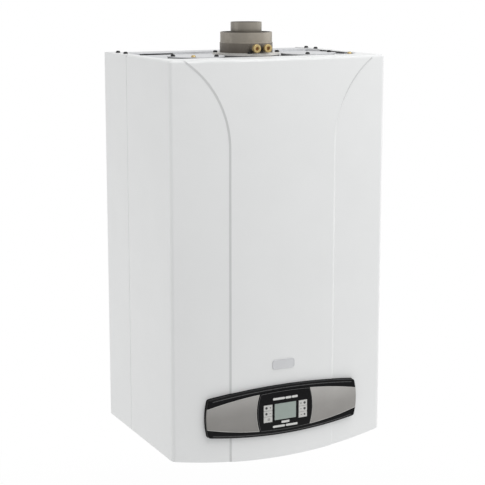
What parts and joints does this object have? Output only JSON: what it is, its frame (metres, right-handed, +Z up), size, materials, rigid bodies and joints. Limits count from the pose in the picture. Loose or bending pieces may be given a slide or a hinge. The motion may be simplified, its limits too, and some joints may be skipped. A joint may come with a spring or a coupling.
{
  "type": "gas boiler",
  "caption": "Wall-hung gas boiler: white steel case with a bowed front, a lens-shaped control panel, a concentric flue collar on top and pipe stubs below.",
  "frame": {"origin": "midway between the two hanging holes, on the back plane of the case", "axes": "+X to the right seen from the front, +Y into the wall, +Z up"},
  "size_m": [0.45, 0.3452, 0.824],
  "materials": {
    "case_white": "satin",
    "galvanised": "satin",
    "black_screw": "satin",
    "brass_bright": "satin",
    "flue_casting": "matt",
    "flue_tube": "satin",
    "seal": "matt",
    "chamber_sheet": "satin",
    "sight_window": "clear",
    "fan_aluminium": "satin",
    "motor_black": "satin",
    "copper": "satin",
    "fibre_board": "matt",
    "burner_steel": "satin",
    "ceramic": "gloss",
    "switch_plastic": "matt",
    "vessel_red": "satin",
    "pump_casting": "matt",
    "moulding_dark": "matt",
    "stainless": "satin",
    "valve_casting": "matt",
    "knob_red": "matt",
    "knob_blue": "matt",
    "circuit_board": "satin",
    "components": "matt",
    "panel_black": "gloss",
    "wing_grey": "satin",
    "display": "gloss",
    "key_grey": "satin"
  },
  "bodies": {
    "boiler": {"left_side_panel": "case_white", "right_side_panel": "case_white", "rear_frame": "galvanised", "frame_rails": "galvanised", "connection_bracket": "galvanised", "top_plate": "galvanised", "intake_plates": "galvanised", "case_screws": "black_screw", "brass_screws": "brass_bright", "sampling_plugs": "brass_bright", "connection_stubs": "brass_bright", "valve_bodies": "brass_bright", "flue_adaptor": "flue_casting", "flue_inner_pipe": "flue_tube", "gaskets": "seal", "chamber_box": "chamber_sheet", "chamber_lid": "chamber_sheet", "flue_hood": "chamber_sheet", "combustion_shell": "chamber_sheet", "sight_glass": "sight_window", "fan_housing": "fan_aluminium", "fan_motor": "motor_black", "pump_motor": "motor_black", "exchanger_core": "copper", "exchanger_tubes": "copper", "water_pipes": "copper", "gas_pipework": "copper", "insulation_boards": "fibre_board", "burner_frame": "burner_steel", "burner_bars": "burner_steel", "electrodes": "ceramic", "pressure_switch": "switch_plastic", "expansion_vessel": "vessel_red", "pump_body": "pump_casting", "flow_block": "moulding_dark", "return_block": "moulding_dark", "diverter_motor": "moulding_dark", "control_box": "moulding_dark", "control_box_lid": "moulding_dark", "plate_exchanger": "stainless", "gas_valve": "valve_casting", "main_board": "circuit_board", "board_components": "components", "panel_bezel": "panel_black", "panel_wings": "wing_grey"},
    "front_cover": {"front_cover": "case_white", "cover_screws": "black_screw"},
    "control_unit": {"control_unit": "panel_black", "display_window": "display"},
    "fan_impeller": {"fan_impeller": "fan_aluminium"},
    "pump_impeller": {"pump_impeller": "moulding_dark"},
    "diverter_spindle": {"diverter_spindle": "stainless"},
    "safety_knob": {"safety_knob": "knob_red"},
    "filling_knob": {"filling_knob": "knob_blue"},
    "left_upper_key": {"left_upper_key": "key_grey"},
    "left_middle_key": {"left_middle_key": "key_grey"},
    "left_lower_key": {"left_lower_key": "key_grey"},
    "right_upper_key": {"right_upper_key": "key_grey"},
    "right_middle_key": {"right_middle_key": "key_grey"},
    "right_lower_key": {"right_lower_key": "key_grey"}
  },
  "joints": [
    {"name": "cover_pull", "type": "slide", "parent": "boiler", "child": "front_cover", "axis": [0, -1, 0], "range_m": [0, 0.35]},
    {"name": "unit_pull", "type": "slide", "parent": "boiler", "child": "control_unit", "axis": [0, -1, 0], "range_m": [0, 0.05]},
    {"name": "fan_spin", "type": "hinge", "parent": "boiler", "child": "fan_impeller", "pos_m": [-0.04, -0.175, -0.0424], "axis": [0, 1, 0], "continuous": true},
    {"name": "pump_spin", "type": "hinge", "parent": "boiler", "child": "pump_impeller", "pos_m": [0.13, -0.155, -0.512], "axis": [0, 1, 0], "continuous": true},
    {"name": "diverter_lift", "type": "slide", "parent": "boiler", "child": "diverter_spindle", "axis": [0, 0, 1], "range_m": [0, 0.008]},
    {"name": "safety_turn", "type": "hinge", "parent": "boiler", "child": "safety_knob", "pos_m": [-0.145, -0.19, -0.6], "axis": [0, -1, 0], "range_deg": [0, 90]},
    {"name": "filling_turn", "type": "hinge", "parent": "boiler", "child": "filling_knob", "pos_m": [0.145, -0.19, -0.6], "axis": [0, -1, 0], "range_deg": [0, 270]},
    {"name": "left_upper_key_press", "type": "slide", "parent": "control_unit", "child": "left_upper_key", "axis": [0, 1, 0], "range_m": [0, 0.0008], "stiffness_N_per_m": 2000},
    {"name": "left_middle_key_press", "type": "slide", "parent": "control_unit", "child": "left_middle_key", "axis": [0, 1, 0], "range_m": [0, 0.0008], "stiffness_N_per_m": 2000},
    {"name": "left_lower_key_press", "type": "slide", "parent": "control_unit", "child": "left_lower_key", "axis": [0, 1, 0], "range_m": [0, 0.0008], "stiffness_N_per_m": 2000},
    {"name": "right_upper_key_press", "type": "slide", "parent": "control_unit", "child": "right_upper_key", "axis": [0, 1, 0], "range_m": [0, 0.0008], "stiffness_N_per_m": 2000},
    {"name": "right_middle_key_press", "type": "slide", "parent": "control_unit", "child": "right_middle_key", "axis": [0, 1, 0], "range_m": [0, 0.0008], "stiffness_N_per_m": 2000},
    {"name": "right_lower_key_press", "type": "slide", "parent": "control_unit", "child": "right_lower_key", "axis": [0, 1, 0], "range_m": [0, 0.0008], "stiffness_N_per_m": 2000}
  ]
}
